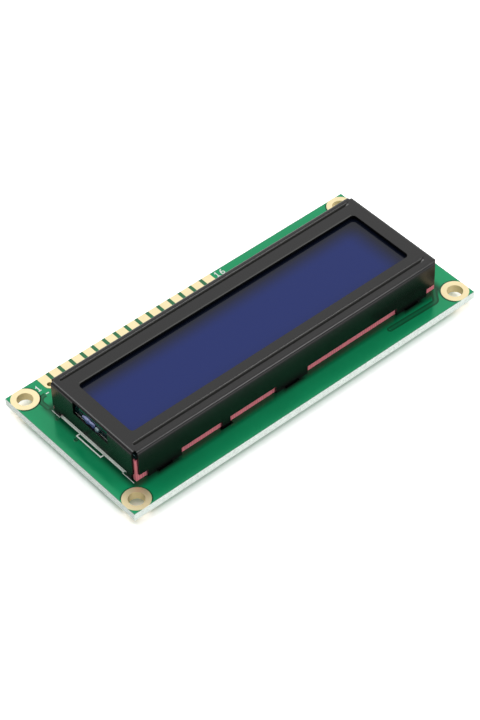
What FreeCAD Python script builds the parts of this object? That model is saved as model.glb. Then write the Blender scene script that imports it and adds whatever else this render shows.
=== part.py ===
import FreeCAD, Part
import math
import os

# A character display module: a circuit board that carries a display cell under a stamped black bezel.
# Sizes are in millimetres. X runs along the board, Y from its front edge to the header row at its back edge,
# Z up through the glass. The origin is under the middle of the board, on the surface that the module lies on.

os.makedirs("parts", exist_ok=True)

# Circuit board
board_length = 80.0
board_depth = 36.0
board_thickness = 1.6
copper_thickness = 0.05
hole_lining = 0.1

# Mounting holes, one near each corner, as far from one edge as from the other
mounting_hole_inset = 2.5
mounting_hole_radius = 1.5
mounting_ring_radius = 2.6

# Header row along the back edge, counted from the left
header_pin_count = 16
header_pitch = 2.54
header_first_pin_from_left = 8.0
header_row_from_back = 2.5
header_hole_radius = 0.5
header_pad_gap = 0.5

# Bezel: one folded sheet, open at its four corners
bezel_length = 71.0
bezel_depth = 23.7
bezel_height = 7.3
bezel_offset_y = -1.1
sheet_thickness = 0.4
bend_radius = 0.7
corner_relief = 0.85
window_length = 64.7
window_depth = 14.8
window_corner_radius = 0.8

# Two grooves pressed into the top of the bezel, whose ribs press on the glass
groove_width = 0.65
groove_floor_width = 0.2
groove_depth = 0.6
front_groove_inset = 2.1
back_groove_inset = 1.5
groove_end_inset = 1.6

# Lower edge of the long walls: wide feet stand on the board, and the edge between them is raised
foot_count = 3
foot_pitch = 29.0
foot_width = 7.4
foot_lift = 1.7

# Lower edge of the end walls, and the notch high in the left one for the display cell's end seal
end_opening_length = 18.6
end_foot_lift = 1.2
end_foot_nip = 0.35
notch_length = 9.5
notch_floor = 4.25
notch_below_top = 0.3
notch_offset_y = 0.25

# Tabs that pass through the board and are twisted below it
tab_width = 2.4
tab_tip_width = 1.9
tab_drop = 1.4
tab_twist_deg = 40.0
lone_tab_width = 1.8
lone_tab_offset = 15.2
slot_end_clearance = 0.45
slot_inner_clearance = 0.2
slot_outer_clearance = 0.25

# Elastomer strips between the board's contact pads and the front glass
strip_width = 2.2
strip_clearance = 0.05
contact_pitch = 1.35
contact_width = 0.9
contact_depth = 1.8
contact_end_margin = 3.0

# Display cell
glass_thickness = 1.1
cell_gap = 0.05
glass_end_clearance = 0.25
glass_side_clearance = 0.1
rear_glass_strip_gap = 0.3
polariser_thickness = 0.2
polariser_margin = 0.5
seal_width = 1.2
seal_inset = 0.6
end_seal_length = 4.6
end_seal_height = 1.3
end_seal_bulge = 0.36
end_seal_taper = 0.7

# Backlight: a white tray with a reflector sheet, a light guide, a diffuser sheet and a lamp at the right end
tray_wall = 1.2
tray_floor = 0.8
tray_strip_gap = 0.1
reflector_thickness = 0.1
diffuser_thickness = 0.2
film_clearance = 0.05
lamp_length = 5.0
lamp_depth = 1.6
lamp_clearance = 0.05
lamp_leg_pitch = 2.54
lamp_leg_width = 0.4
lamp_leg_drop = 0.9
lamp_hole_radius = 0.4
lamp_land_radius = 0.9
lamp_solder_height = 0.7

# Two dies under the board, each under a round epoxy cap
epoxy_cap_radius = 6.5
epoxy_cap_height = 1.15
epoxy_cap_crown = 0.35
epoxy_cap_rings = 4
epoxy_cap_sides = 32
controller_x = -14.5
driver_x = 15.5
die_thickness = 0.4
controller_die_length = 3.6
controller_die_width = 3.0
driver_die_length = 4.4
driver_die_width = 2.4

# Surface mounted chips under the board
chip_length = 2.0
chip_width = 1.25
resistor_height = 0.5
capacitor_height = 0.8
chip_end_length = 0.4
chip_land_extra = 0.5
chip_row_pitch = 2.2
fillet_height = 0.35

# Round shapes that nobody sees are drawn with this many sides
hidden_sides = 12

# Sizes that follow from the ones above
pad_width = header_pitch - header_pad_gap
underside_reach = max(tab_drop, lamp_leg_drop, epoxy_cap_height, copper_thickness + capacitor_height)
board_bottom = underside_reach
board_top = board_bottom + board_thickness
land_top = board_top + copper_thickness
land_bottom = board_bottom - copper_thickness
header_row_y = board_depth / 2 - header_row_from_back

bezel_top = board_top + bezel_height
bezel_front = bezel_offset_y - bezel_depth / 2
bezel_back = bezel_offset_y + bezel_depth / 2
bezel_right = bezel_length / 2
inner_right = bezel_right - sheet_thickness
inner_front = bezel_front + sheet_thickness
inner_back = bezel_back - sheet_thickness

glass_top = bezel_top - sheet_thickness - groove_depth
front_glass_bottom = glass_top - glass_thickness
rear_glass_top = front_glass_bottom - cell_gap
rear_glass_bottom = rear_glass_top - glass_thickness
tray_top = rear_glass_bottom - polariser_thickness
glass_right = inner_right - glass_end_clearance

strip_right = inner_right - strip_clearance
front_strip_front = inner_front + strip_clearance
front_strip_back = front_strip_front + strip_width
back_strip_back = inner_back - strip_clearance
back_strip_front = back_strip_back - strip_width
rear_glass_front = front_strip_back + rear_glass_strip_gap
rear_glass_back = back_strip_front - rear_glass_strip_gap

tray_front = front_strip_back + tray_strip_gap
tray_back = back_strip_front - tray_strip_gap
pocket_right = strip_right - tray_wall
pocket_front = tray_front + tray_wall
pocket_back = tray_back - tray_wall
tray_floor_top = board_top + tray_floor
guide_bottom = tray_floor_top + reflector_thickness
guide_top = tray_top - film_clearance - diffuser_thickness
lamp_right = pocket_right - lamp_clearance
lamp_left = lamp_right - lamp_depth
guide_right = lamp_left - lamp_clearance
guide_left = -pocket_right + lamp_clearance
lamp_y = (tray_front + tray_back) / 2
lamp_leg_x = (lamp_left + lamp_right) / 2
lamp_leg_ys = [lamp_y - lamp_leg_pitch / 2, lamp_y + lamp_leg_pitch / 2]

notch_y = bezel_offset_y + notch_offset_y
foot_centres = [(i - (foot_count - 1) / 2) * foot_pitch for i in range(foot_count)]
wall_middle_front = bezel_front + sheet_thickness / 2
wall_middle_back = bezel_back - sheet_thickness / 2
tabs = [(x, wall_middle_front, tab_width) for x in foot_centres]
tabs += [(x, wall_middle_back, tab_width) for x in foot_centres]
tabs += [(-lone_tab_offset, wall_middle_front, lone_tab_width)]
tabs += [(lone_tab_offset, wall_middle_back, lone_tab_width)]

header_pins = [
    (-board_length / 2 + header_first_pin_from_left + i * header_pitch, header_row_y)
    for i in range(header_pin_count)
]
mounting_x = board_length / 2 - mounting_hole_inset
mounting_y = board_depth / 2 - mounting_hole_inset
mounting_holes = [(sx * mounting_x, sy * mounting_y) for sx in (-1, 1) for sy in (-1, 1)]
lamp_holes = [(lamp_leg_x, y) for y in lamp_leg_ys]

# Chips stand in a row between the epoxy caps, with single ones outside them
chip_row_x = (controller_x + driver_x) / 2
outer_chip_offset = epoxy_cap_radius + chip_length + 1.5
resistor_places = [(chip_row_x, bezel_offset_y + (i - 2) * chip_row_pitch) for i in range(5)]
resistor_places += [(controller_x - outer_chip_offset, bezel_offset_y + chip_row_pitch)]
resistor_places += [(driver_x + outer_chip_offset, bezel_offset_y + chip_row_pitch)]
capacitor_places = [
    (controller_x - outer_chip_offset, bezel_offset_y - chip_row_pitch),
    (driver_x + outer_chip_offset, bezel_offset_y - chip_row_pitch),
]


def box(x0, x1, y0, y1, z0, z1):
    """Block between two corners."""
    return Part.makeBox(x1 - x0, y1 - y0, z1 - z0, FreeCAD.Vector(x0, y0, z0))


def cylinder(x, y, radius, z0, z1):
    """Upright cylinder."""
    return Part.makeCylinder(radius, z1 - z0, FreeCAD.Vector(x, y, z0))


def outline(points):
    """Closed wire through points, where a third value is the middle point of an arc to the next point."""
    edges = []
    for i, point in enumerate(points):
        start = FreeCAD.Vector(*point[0])
        end = FreeCAD.Vector(*points[(i + 1) % len(points)][0])
        if len(point) == 1:
            edges.append(Part.makeLine(start, end))
        else:
            edges.append(Part.Arc(start, FreeCAD.Vector(*point[1]), end).toShape())
    return Part.Wire(edges)


def rounded_rectangle(cx, cy, length, depth, radius, z):
    """Closed wire of a rectangle with round corners, at height z."""
    x, y = length / 2, depth / 2
    k = radius * (1 - math.sqrt(0.5))
    points = []
    for sx, sy in ((1, -1), (1, 1), (-1, 1), (-1, -1)):
        along_y = ((cx + sx * x, cy + sy * (y - radius), z),)
        along_x = ((cx + sx * (x - radius), cy + sy * y, z),)
        middle = (cx + sx * (x - k), cy + sy * (y - k), z)
        first, second = (along_x, along_y) if sx * sy < 0 else (along_y, along_x)
        points += [(first[0], middle), second]
    return outline(points)


def prism(wire, height):
    """Solid swept straight up from a flat wire."""
    return Part.Face(wire).extrude(FreeCAD.Vector(0, 0, height))


def ring(x, y, radius, z, sides):
    """Closed ring of points in place of a circle."""
    angles = [2 * math.pi * i / sides for i in range(sides + 1)]
    return [FreeCAD.Vector(x + radius * math.cos(a), y + radius * math.sin(a), z) for a in angles]


def stacked(rings):
    """Solid between rings of points, from the lowest up, each joined to the next by flat faces."""
    faces = [Part.Face(Part.makePolygon(points)) for points in (rings[0], rings[-1])]
    for low, high in zip(rings, rings[1:]):
        for i in range(len(low) - 1):
            corners = [low[i], low[i + 1], high[i + 1], high[i], low[i]]
            faces.append(Part.Face(Part.makePolygon(corners)))
    return Part.Solid(Part.Shell(faces))


def many_sided(x, y, radius, z0, z1):
    """Upright prism in place of a cylinder that nobody sees, such as the wall behind a hole's lining."""
    return prism(Part.makePolygon(ring(x, y, radius, z0, hidden_sides)), z1 - z0)


def fused(shapes):
    """One solid from shapes that touch or overlap."""
    return shapes[0].multiFuse(shapes[1:]).removeSplitter()


def folded_sheet(half_span, half_run, along_x):
    """Sheet folded down at two opposite edges, with the true bend radius inside and out."""
    top, low = bezel_top, board_top
    r, t = bend_radius, sheet_thickness
    k_out = r * (1 - math.sqrt(0.5))
    k_in = t + (r - t) * (1 - math.sqrt(0.5))
    section = [
        ((-half_span, low),),
        ((-half_span, top - r), (-half_span + k_out, top - k_out)),
        ((-half_span + r, top),),
        ((half_span - r, top), (half_span - k_out, top - k_out)),
        ((half_span, top - r),),
        ((half_span, low),),
        ((half_span - t, low),),
        ((half_span - t, top - r), (half_span - k_in, top - k_in)),
        ((half_span - r, top - t),),
        ((-half_span + r, top - t), (-half_span + k_in, top - k_in)),
        ((-half_span + t, top - r),),
        ((-half_span + t, low),),
    ]
    if along_x:
        place = [tuple((-half_run, bezel_offset_y + s, z) for s, z in point) for point in section]
        return Part.Face(outline(place)).extrude(FreeCAD.Vector(2 * half_run, 0, 0))
    place = [tuple((s, bezel_offset_y - half_run, z) for s, z in point) for point in section]
    return Part.Face(outline(place)).extrude(FreeCAD.Vector(0, 2 * half_run, 0))


def groove(cy, grow, drop):
    """Tapered channel with round ends: the recess in the sheet, or the rib below it."""
    length = bezel_length - 2 * groove_end_inset
    wide, narrow = groove_width + 2 * grow, groove_floor_width + 2 * grow
    taper = groove_width - groove_floor_width
    high = rounded_rectangle(0, cy, length + 2 * grow, wide, wide * 0.49, bezel_top - drop)
    low = rounded_rectangle(0, cy, length + 2 * grow - taper, narrow, narrow * 0.49, bezel_top - drop - groove_depth)
    return Part.makeLoft([high, low], True, True)


def twisted_tab(x, y, width):
    """Flat neck through the board, then a tip that is wrung round below it."""
    neck = box(
        x - width / 2, x + width / 2, y - sheet_thickness / 2, y + sheet_thickness / 2, board_bottom, board_top + foot_lift
    )
    tip_width = width * tab_tip_width / tab_width
    wires = []
    for w, z, twist in ((width, board_bottom, 0), (tip_width, board_bottom - tab_drop, tab_twist_deg)):
        wire = Part.makePolygon([
            FreeCAD.Vector(sx * w / 2, sy * sheet_thickness / 2, 0)
            for sx, sy in ((-1, -1), (1, -1), (1, 1), (-1, 1), (-1, -1))
        ])
        wire.rotate(FreeCAD.Vector(0, 0, 0), FreeCAD.Vector(0, 0, 1), twist)
        wire.translate(FreeCAD.Vector(x, y, z))
        wires.append(wire)
    return [neck, Part.makeLoft(wires, True, True)]


def make_bezel():
    """Folded sheet with its window, grooves, raised edges, notch and twisted tabs."""
    half_run_x = bezel_right - corner_relief
    half_run_y = bezel_depth / 2 - corner_relief
    sheet = fused([folded_sheet(bezel_depth / 2, half_run_x, True), folded_sheet(bezel_right, half_run_y, False)])

    slope = math.atan2(groove_depth, (groove_width - groove_floor_width) / 2)
    rib_grow = sheet_thickness * math.tan(slope / 2)
    groove_ys = [bezel_front + front_groove_inset, bezel_back - back_groove_inset]
    sheet = fused([sheet] + [groove(y, rib_grow, sheet_thickness) for y in groove_ys])
    for y in groove_ys:
        sheet = sheet.cut(groove(y, 0, 0))
    window = rounded_rectangle(
        0, bezel_offset_y, window_length, window_depth, window_corner_radius, bezel_top - sheet_thickness
    )
    sheet = sheet.cut(prism(window, sheet_thickness))

    foot_edges = [(x - foot_width / 2, x + foot_width / 2) for x in foot_centres]
    corner = corner_relief + end_foot_nip
    for y0, y1, lone_x in (
        (bezel_front, bezel_front + corner, -lone_tab_offset),
        (bezel_back - corner, bezel_back, lone_tab_offset),
    ):
        kept = foot_edges + [(lone_x - lone_tab_width / 2, lone_x + lone_tab_width / 2)]
        raised = box(-bezel_right, bezel_right, y0, y1, board_top, board_top + foot_lift)
        for x0, x1 in kept:
            raised = raised.cut(box(x0, x1, y0, y1, board_top, board_top + foot_lift))
        sheet = sheet.cut(raised)

    y0 = bezel_offset_y - end_opening_length / 2
    y1 = bezel_offset_y + end_opening_length / 2
    sheet = sheet.cut(box(-bezel_right, bezel_right, y0, y1, board_top, board_top + end_foot_lift))

    sheet = sheet.cut(box(
        -bezel_right, -bezel_right + bend_radius,
        notch_y - notch_length / 2, notch_y + notch_length / 2,
        board_top + notch_floor, bezel_top - notch_below_top,
    ))
    tab_pieces = [piece for tab in tabs for piece in twisted_tab(*tab)]
    return fused([sheet] + tab_pieces)


def make_board():
    """Board with its plated holes drilled and the slots for the bezel's tabs."""
    board = box(
        -board_length / 2, board_length / 2, -board_depth / 2, board_depth / 2, board_bottom, board_top
    )
    drills = [(x, y, mounting_hole_radius + hole_lining) for x, y in mounting_holes]
    drills += [(x, y, header_hole_radius + hole_lining) for x, y in header_pins]
    drills += [(x, y, lamp_hole_radius + hole_lining) for x, y in lamp_holes]
    cuts = [many_sided(x, y, r, board_bottom, board_top) for x, y, r in drills]
    for x, y, width in tabs:
        reach = width / 2 + slot_end_clearance
        front, back = slot_inner_clearance, slot_outer_clearance
        if y < bezel_offset_y:
            front, back = back, front
        y0, y1 = y - sheet_thickness / 2 - front, y + sheet_thickness / 2 + back
        cuts.append(box(x - reach, x + reach, y0, y1, board_bottom, board_top))
    return board.cut(Part.makeCompound(cuts))


def plated_hole(x, y, radius, land):
    """Lining of a hole with a land on each face of the board. The land is a function of its lower height."""
    body = fused([
        many_sided(x, y, radius + hole_lining, board_bottom, board_top),
        land(board_top),
        land(land_bottom),
    ])
    return body.cut(cylinder(x, y, radius, land_bottom, land_top))


def mounting_plating(x, y):
    """Plated mounting hole, whose ring stops at the board's edges."""
    plan = box(
        -board_length / 2, board_length / 2, -board_depth / 2, board_depth / 2, land_bottom, land_top
    )

    def ring(z):
        return cylinder(x, y, mounting_ring_radius, z, z + copper_thickness).common(plan)

    return plated_hole(x, y, mounting_hole_radius, ring)


def header_plating(x, y):
    """Plated header hole, whose land runs out to the back edge and ends in a half round."""
    half = pad_width / 2

    def tongue(z):
        end = many_sided(x, y, half, z, z + copper_thickness)
        return end.fuse(box(x - half, x + half, y, board_depth / 2, z, z + copper_thickness))

    return plated_hole(x, y, header_hole_radius, tongue)


def lamp_plating(x, y):
    """Plated hole for a lamp leg, which solder hides."""
    body = fused([
        many_sided(x, y, lamp_hole_radius + hole_lining, board_bottom, board_top),
        many_sided(x, y, lamp_land_radius, board_top, land_top),
        many_sided(x, y, lamp_land_radius, land_bottom, board_bottom),
    ])
    return body.cut(many_sided(x, y, lamp_hole_radius, land_bottom, land_top))


def contact_pads(y0, y1):
    """Row of gold contact pads under one elastomer strip."""
    count = int((2 * strip_right - 2 * contact_end_margin) / contact_pitch)
    middle = (y0 + y1) / 2
    pads = []
    for i in range(count):
        x = (i - (count - 1) / 2) * contact_pitch
        pads.append(box(
            x - contact_width / 2, x + contact_width / 2,
            middle - contact_depth / 2, middle + contact_depth / 2,
            board_top, land_top,
        ))
    return Part.makeCompound(pads)


def make_seal():
    """Glue frame between the two glasses, near the rear glass's edges."""
    x, y0, y1 = glass_right - seal_inset, rear_glass_front + seal_inset, rear_glass_back - seal_inset
    frame = box(-x, x, y0, y1, rear_glass_top, front_glass_bottom)
    w = seal_width
    return frame.cut(box(-x + w, x - w, y0 + w, y1 - w, rear_glass_top, front_glass_bottom))


def make_end_seal():
    """Bead of glue on the filling mouth of the cell: an oval on the glass's left end that swells outwards."""
    seam = (front_glass_bottom + rear_glass_top) / 2
    rings = []
    for share, x in ((end_seal_taper, -glass_right - end_seal_bulge), (1, -glass_right)):
        flat = ring(0, 0, share, 0, hidden_sides)
        rings.append([
            FreeCAD.Vector(x, notch_y + p.x * end_seal_length / 2, seam + p.y * end_seal_height / 2) for p in flat
        ])
    return stacked(rings)


def make_tray():
    """White tray of the backlight, with holes in its floor for the lamp legs."""
    tray = box(-strip_right, strip_right, tray_front, tray_back, board_top + copper_thickness, tray_top)
    tray = tray.cut(box(-pocket_right, pocket_right, pocket_front, pocket_back, tray_floor_top, tray_top))
    holes = [many_sided(x, y, lamp_hole_radius, board_top, tray_floor_top) for x, y in lamp_holes]
    lands = [many_sided(x, y, lamp_land_radius, board_top, land_top) for x, y in lamp_holes]
    feet = box(-strip_right, strip_right, tray_front, tray_back, board_top, land_top)
    return fused([tray, feet.cut(Part.makeCompound(lands))]).cut(Part.makeCompound(holes))


def make_lamp_legs():
    """Two square legs from the lamp down through the tray's floor and the board."""
    half = lamp_leg_width / 2
    return Part.makeCompound([
        box(x - half, x + half, y - half, y + half, board_bottom - lamp_leg_drop, tray_floor_top)
        for x, y in lamp_holes
    ])


def make_lamp_solder():
    """Solder round each lamp leg: it fills the hole and stands as a cone under the board."""
    half = lamp_leg_width / 2
    low = land_bottom - lamp_solder_height
    joints = []
    for x, y in lamp_holes:
        tip = ring(x, y, lamp_leg_width, low, hidden_sides)
        rim = ring(x, y, lamp_land_radius, land_bottom, hidden_sides)
        joint = fused([stacked([tip, rim]), many_sided(x, y, lamp_hole_radius, land_bottom, land_top)])
        joints.append(joint.cut(box(x - half, x + half, y - half, y + half, low, land_top)))
    return Part.makeCompound(joints)


def make_die(x, length, width):
    """Bare die glued to the lower face of the board."""
    y = bezel_offset_y
    return box(
        x - length / 2, x + length / 2, y - width / 2, y + width / 2, board_bottom - die_thickness, board_bottom
    )


def make_epoxy_cap(x, die):
    """Low dome of black epoxy over a die, in a few rings from its flattened crown up to the board."""
    rings = []
    for i in range(epoxy_cap_rings):
        rise = i / (epoxy_cap_rings - 1)
        reach = epoxy_cap_radius * (epoxy_cap_crown + (1 - epoxy_cap_crown) * math.sqrt(1 - (1 - rise) ** 2))
        rings.append(ring(x, bezel_offset_y, reach, board_bottom - epoxy_cap_height * (1 - rise), epoxy_cap_sides))
    return stacked(rings).cut(die)


def chip_parts(x, y, height):
    """Body, end caps, lands and solder fillets of one chip, as four lists."""
    half, w = chip_length / 2, chip_width / 2
    low, high = land_bottom - height, land_bottom
    body = [box(x - half + chip_end_length, x + half - chip_end_length, y - w, y + w, low, high)]
    ends, lands, fillets = [], [], []
    for side in (-1, 1):
        tip = x + side * half
        root = tip - side * chip_end_length
        edge = tip + side * chip_land_extra
        ends.append(box(min(tip, root), max(tip, root), y - w, y + w, low, high))
        lands.append(box(min(edge, root), max(edge, root), y - w, y + w, land_bottom, board_bottom))
        wire = Part.makePolygon([
            FreeCAD.Vector(tip, y - w, high),
            FreeCAD.Vector(edge, y - w, high),
            FreeCAD.Vector(tip, y - w, high - fillet_height),
            FreeCAD.Vector(tip, y - w, high),
        ])
        fillets.append(Part.Face(wire).extrude(FreeCAD.Vector(0, chip_width, 0)))
    return body, ends, lands, fillets


def save(name, shape):
    """Writes one piece, or one group of like pieces."""
    shape.exportStep("parts/" + name + ".step")


controller_die = make_die(controller_x, controller_die_length, controller_die_width)
driver_die = make_die(driver_x, driver_die_length, driver_die_width)
resistors = [chip_parts(x, y, resistor_height) for x, y in resistor_places]
capacitors = [chip_parts(x, y, capacitor_height) for x, y in capacitor_places]
chips = resistors + capacitors

save("circuit_board", make_board())
save("mounting_hole_plating", Part.makeCompound([mounting_plating(x, y) for x, y in mounting_holes]))
save("header_pads", Part.makeCompound([header_plating(x, y) for x, y in header_pins]))
save("bezel", make_bezel())

save("front_elastomer_strip", box(
    -strip_right, strip_right, front_strip_front, front_strip_back, land_top, front_glass_bottom))
save("rear_elastomer_strip", box(
    -strip_right, strip_right, back_strip_front, back_strip_back, land_top, front_glass_bottom))
save("front_contact_pads", contact_pads(front_strip_front, front_strip_back))
save("rear_contact_pads", contact_pads(back_strip_front, back_strip_back))

save("front_glass", box(
    -glass_right, glass_right, inner_front + glass_side_clearance, inner_back - glass_side_clearance,
    front_glass_bottom, glass_top))
save("rear_glass", box(
    -glass_right, glass_right, rear_glass_front, rear_glass_back, rear_glass_bottom, rear_glass_top))
polariser_right = glass_right - polariser_margin
polariser_front = rear_glass_front + polariser_margin
polariser_back = rear_glass_back - polariser_margin
save("front_polariser", box(
    -polariser_right, polariser_right, polariser_front, polariser_back, glass_top, glass_top + polariser_thickness))
save("rear_polariser", box(
    -polariser_right, polariser_right, polariser_front, polariser_back, tray_top, rear_glass_bottom))
save("cell_edge_seal", make_seal())
save("cell_end_seal", make_end_seal())

save("backlight_tray", make_tray())
save("reflector_sheet", box(
    guide_left, guide_right, pocket_front + film_clearance, pocket_back - film_clearance,
    tray_floor_top, guide_bottom))
save("light_guide", box(
    guide_left, guide_right, pocket_front + film_clearance, pocket_back - film_clearance,
    guide_bottom, guide_top))
save("diffuser_sheet", box(
    guide_left, guide_right, pocket_front + film_clearance, pocket_back - film_clearance,
    guide_top, guide_top + diffuser_thickness))
save("backlight_lamp", box(
    lamp_left, lamp_right, lamp_y - lamp_length / 2, lamp_y + lamp_length / 2, tray_floor_top, guide_top))
save("lamp_legs", make_lamp_legs())
save("lamp_hole_plating", Part.makeCompound([lamp_plating(x, y) for x, y in lamp_holes]))
save("lamp_solder", make_lamp_solder())

save("controller_die", controller_die)
save("driver_die", driver_die)
save("controller_epoxy_cap", make_epoxy_cap(controller_x, controller_die))
save("driver_epoxy_cap", make_epoxy_cap(driver_x, driver_die))
save("chip_resistors", Part.makeCompound([body for body, *_ in resistors for body in body]))
save("chip_capacitors", Part.makeCompound([body for body, *_ in capacitors for body in body]))
save("chip_end_caps", Part.makeCompound([end for _, ends, _, _ in chips for end in ends]))
save("chip_lands", Part.makeCompound([land for _, _, lands, _ in chips for land in lands]))
save("chip_solder", Part.makeCompound([fillet for _, _, _, fillets in chips for fillet in fillets]))
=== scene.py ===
import logging
import math
from collections.abc import Iterable
from dataclasses import dataclass, field
from enum import Enum
from functools import cached_property, partial, reduce
from typing import ClassVar

import bmesh
import bpy
import numpy as np
from mathutils import Matrix, Vector


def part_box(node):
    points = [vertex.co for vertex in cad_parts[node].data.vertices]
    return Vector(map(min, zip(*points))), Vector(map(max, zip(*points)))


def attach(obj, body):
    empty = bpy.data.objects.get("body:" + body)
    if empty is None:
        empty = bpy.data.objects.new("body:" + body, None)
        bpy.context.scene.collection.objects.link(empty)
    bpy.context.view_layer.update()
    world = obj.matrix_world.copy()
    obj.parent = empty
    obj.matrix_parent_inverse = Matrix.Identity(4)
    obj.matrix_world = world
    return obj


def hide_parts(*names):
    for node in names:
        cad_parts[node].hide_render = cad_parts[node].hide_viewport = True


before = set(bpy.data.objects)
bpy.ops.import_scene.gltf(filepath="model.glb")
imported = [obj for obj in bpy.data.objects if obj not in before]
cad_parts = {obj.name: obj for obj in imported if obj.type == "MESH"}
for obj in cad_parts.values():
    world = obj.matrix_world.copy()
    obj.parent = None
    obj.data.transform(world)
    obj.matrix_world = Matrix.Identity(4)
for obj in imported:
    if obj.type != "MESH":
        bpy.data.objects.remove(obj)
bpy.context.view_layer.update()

log = logging.getLogger("display_module")

MM = 0.001
"""Metres in a millimetre: shapes are worked out in millimetres and scaled once, when their mesh is made."""

FIRST_PIN = -32.0
"""x of the header's first pin."""

PITCH = 2.54
"""Distance between two pins."""

PINS = 16
"""Number of pins in the header."""

INK = 0.02
"""Thickness of the white print."""

RELIEF = 0.012
"""How far a track stands out under the mask."""

WAVE_SPACING = 0.314
"""Distance between two bands of a wave pattern whose scale is 1."""

Output = bpy.types.NodeSocket
Colour = tuple[float, float, float, float] | Output


def linear(code: str) -> tuple[float, float, float, float]:
    """Turns an sRGB hex colour into the linear colour that a shader takes.

    Args:
        code: six hex digits after a hash sign.

    Returns:
        Linear red, green, blue and an alpha of 1.
    """
    parts = [int(code[i:i + 2], 16) / 255 for i in (1, 3, 5)]
    bent = [p / 12.92 if p <= 0.04045 else ((p + 0.055) / 1.055) ** 2.4 for p in parts]
    return bent[0], bent[1], bent[2], 1.0


class Input(Enum):
    """Inputs of the Principled shader that the finishes reach by link."""

    COLOUR = "Base Color"
    ROUGHNESS = "Roughness"
    NORMAL = "Normal"
    METALLIC = "Metallic"


class Curve(Enum):
    """How a value goes from one end of its range to the other."""

    STRAIGHT = "LINEAR"
    SOFT = "SMOOTHSTEP"


@dataclass(frozen=True)
class Cloud:
    """Slow unevenness of a colour.

    Attributes:
        size_mm: distance from one cloud to the next.
        swing: share by which the colour gets paler and darker.
        detail: octaves of finer noise on top.
    """

    size_mm: float
    swing: float
    detail: float = 2.0


@dataclass
class Graph:
    """The shader nodes of a material or of the world, with the steps that patterns are made of.

    Attributes:
        tree: the node tree.
        shader: the Principled shader, once it is there.
    """

    tree: bpy.types.NodeTree
    shader: bpy.types.Node | None = None

    @classmethod
    def of(cls, owner: bpy.types.Material | bpy.types.World) -> "Graph":
        """Switches the nodes of a material or world on and empties its tree."""
        owner.use_nodes = True
        owner.node_tree.nodes.clear()
        return cls(owner.node_tree)

    def add(self, kind: str, inputs: dict | None = None, **settings: object) -> bpy.types.Node:
        """Adds one shader node, sets it up and fills its inputs.

        Args:
            kind: the node's type without its ShaderNode prefix.
            inputs: socket name or number, to a plain value or to the output that feeds it.
            settings: attributes of the node, such as its operation.

        Returns:
            The new node.
        """
        node = self.tree.nodes.new("ShaderNode" + kind)
        for name, value in settings.items():
            setattr(node, name, value)
        for name, value in (inputs or {}).items():
            if isinstance(value, Output):
                self.tree.links.new(value, node.inputs[name])
            else:
                node.inputs[name].default_value = value
        return node

    def feed(self, socket: Input, source: Output) -> None:
        """Links an output to one of the shader's inputs."""
        self.tree.links.new(source, self.shader.inputs[socket.value])

    @cached_property
    def place(self) -> Output:
        """The surface's points in the module's frame."""
        return self.add("TexCoord").outputs["Object"]

    @cached_property
    def axes(self) -> bpy.types.NodeOutputs:
        """x, y and z of those points, in metres."""
        return self.add("SeparateXYZ", {0: self.place}).outputs

    @cached_property
    def upward(self) -> Output:
        """Upward part of the surface's normal."""
        return self.add("SeparateXYZ", {0: self.add("NewGeometry").outputs["Normal"]}).outputs[2]

    def step(self, operation: str, first: Output, second: float | Output = 0.0) -> Output:
        """Does one step of arithmetic, such as ADD or LESS_THAN."""
        return self.add("Math", {0: first, 1: second}, operation=operation).outputs[0]

    def together(self, operation: str, values: Iterable[Output]) -> Output:
        """Takes all values together by one operation, such as MULTIPLY or MAXIMUM."""
        return reduce(partial(self.step, operation), values)

    def ranged(
        self, value: Output, low: float, high: float, start: float = 0.0, end: float = 1.0,
        curve: Curve = Curve.STRAIGHT,
    ) -> Output:
        """Carries the range from start to end over to that from low to high, and never beyond its ends."""
        inputs = {"Value": value, "From Min": start, "From Max": end, "To Min": low, "To Max": high}
        return self.add("MapRange", inputs, interpolation_type=curve.value).outputs[0]

    def noise(self, size_mm: float, detail: float) -> Output:
        """Noise whose bumps are about a size apart, with octaves of finer detail."""
        scale = 1 / (size_mm * MM)
        return self.add("TexNoise", {"Vector": self.place, "Scale": scale, "Detail": detail}).outputs[0]

    def scaled(self, colour: Colour, factor: Output) -> Output:
        """Multiplies a colour by a number."""
        vector = colour if isinstance(colour, Output) else colour[:3]
        return self.add("VectorMath", {0: vector, "Scale": factor}, operation="SCALE").outputs[0]

    def clouded(self, code: str, cloud: Cloud) -> Output:
        """The colour of a hex code, made a little paler and darker by noise."""
        noise = self.noise(cloud.size_mm, cloud.detail)
        return self.scaled(linear(code), self.ranged(noise, 1 - cloud.swing, 1 + cloud.swing))

    def mixed(self, share: Output, first: Colour, second: Colour) -> Output:
        """Mixes two colours: the first where the share is 0, the second where it is 1."""
        return self.add("Mix", {0: share, 6: first, 7: second}, data_type="RGBA").outputs[2]


@dataclass(frozen=True)
class Grain:
    """A fine unevenness of a surface, as bump and as a small change of roughness.

    Attributes:
        size_mm: distance from one bump to the next.
        depth_mm: height of the bumps.
        detail: octaves of finer noise on top.
        blur: how far the roughness swings to either side of the finish's own.
    """

    size_mm: float
    depth_mm: float
    detail: float = 2.0
    blur: float = 0.0


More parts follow.
